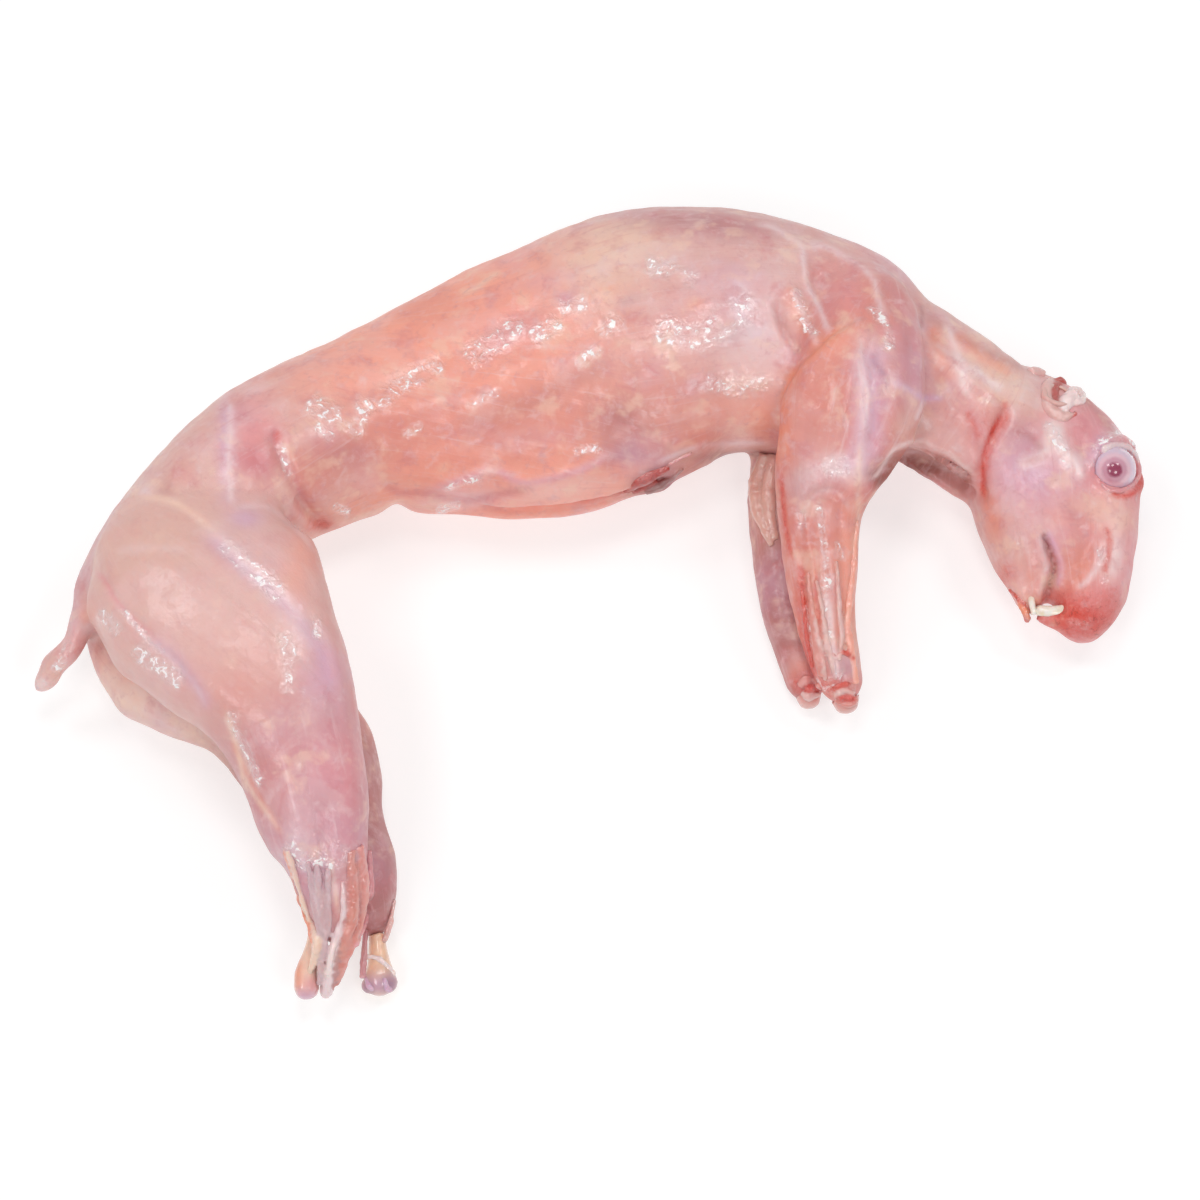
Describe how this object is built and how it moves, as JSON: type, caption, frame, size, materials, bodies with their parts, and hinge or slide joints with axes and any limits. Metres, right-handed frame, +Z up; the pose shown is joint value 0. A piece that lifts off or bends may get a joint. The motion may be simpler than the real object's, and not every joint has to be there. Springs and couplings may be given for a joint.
{
  "type": "skinned rabbit carcass",
  "caption": "Life-size display model of a dressed, skinned rabbit lying on its left side, head on, feet and ears removed, belly opened.",
  "frame": {"origin": "on the floor under the middle of the whole body's box", "axes": "+X along the body from rump to head, +Y to the back, away from the legs, +Z up from the left side that it lies on to the right side"},
  "size_m": [0.3726, 0.2772, 0.076],
  "materials": {
    "flesh": "wet pink muscle under a clear film, satin to gloss",
    "pale_flesh": "paler wet muscle with whitish film, satin to gloss",
    "bone": "bare moist bone with a lilac cartilage cap",
    "cartilage": "whitish moist tendon and cartilage",
    "eyeball": "wet, cloudy lilac-grey eyeball",
    "enamel": "smooth cream tooth enamel"
  },
  "bodies": {
    "root": {"pelvis": "flesh", "loin": "flesh", "chest": "flesh", "neck": "flesh", "head": "flesh", "lower_jaw": "flesh", "tail": "flesh", "thigh_right": "pale_flesh", "thigh_left": "pale_flesh", "shank_right": "flesh", "shank_left": "flesh", "upper_arm_right": "flesh", "upper_arm_left": "flesh", "forearm_right": "flesh", "forearm_left": "flesh", "eye_right": "eyeball", "eye_left": "eyeball", "ear_right": "cartilage", "ear_left": "cartilage", "upper_incisor_right": "enamel", "upper_incisor_left": "enamel", "lower_incisor_right": "enamel", "lower_incisor_left": "enamel", "shin_bone_right": "bone", "shin_bone_left": "bone", "foot_tendon_right": "cartilage", "wrist_bone_right": "bone", "wrist_bone_left": "bone"}
  },
  "joints": []
}
